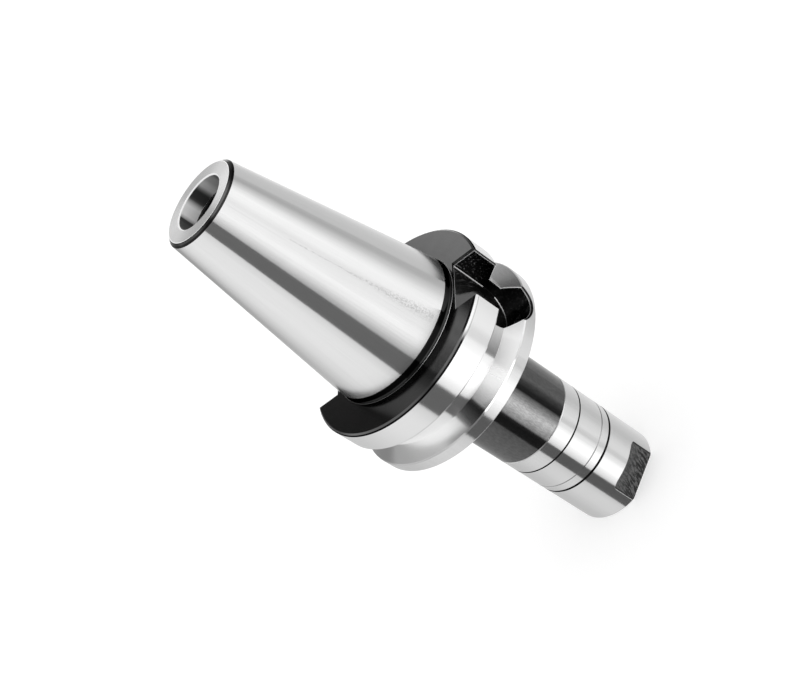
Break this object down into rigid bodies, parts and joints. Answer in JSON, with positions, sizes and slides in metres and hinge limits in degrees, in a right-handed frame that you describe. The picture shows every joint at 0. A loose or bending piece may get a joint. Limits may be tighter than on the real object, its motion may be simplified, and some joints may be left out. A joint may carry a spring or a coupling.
{
  "type": "milling arbor",
  "caption": "Steep-taper milling arbor with a grooved drive flange, a dark shoulder, bright spacing collars and a flatted clamping nut.",
  "frame": {"origin": "on the axis, in the plane of the nut's free face, on which the arbor stands", "axes": "+Z along the axis from the nut to the taper's small end; +X through the middle of one drive slot"},
  "size_m": [0.1, 0.1, 0.2478],
  "materials": {
    "arbor_steel": "ground taper and flange edge, black-oxide neck and shoulder",
    "key_steel": "milled",
    "collar_steel": "ground bright",
    "nut_steel": "ground bright, milled wrench flats"
  },
  "bodies": {
    "nut": {"arbor_nut": "nut_steel"},
    "collar_outer": {"collar_outer": "collar_steel"},
    "arbor": {"arbor": "arbor_steel", "key": "key_steel"},
    "collar_middle": {"collar_middle": "collar_steel"},
    "collar_inner": {"collar_inner": "collar_steel"}
  },
  "joints": [
    {"name": "nut_turn", "type": "hinge", "parent": "nut", "child": "collar_outer", "pos_m": [0, 0, 0.03], "axis": [0, 0, 1], "range_deg": [0, 2160]},
    {"name": "nut_travel", "type": "slide", "parent": "collar_outer", "child": "arbor", "axis": [0, 0, 1], "range_m": [0, 0.012]},
    {"name": "middle_slide", "type": "slide", "parent": "arbor", "child": "collar_middle", "axis": [0, 0, -1], "range_m": [0, 0.008]},
    {"name": "inner_slide", "type": "slide", "parent": "arbor", "child": "collar_inner", "axis": [0, 0, -1], "range_m": [0, 0.004]}
  ],
  "couplings": [
    {"joint": "nut_travel", "follows": "nut_turn", "m_per_rad": 0.00031831},
    {"joint": "middle_slide", "follows": "nut_turn", "m_per_rad": 0.00021221},
    {"joint": "inner_slide", "follows": "nut_turn", "m_per_rad": 0.0001061}
  ]
}
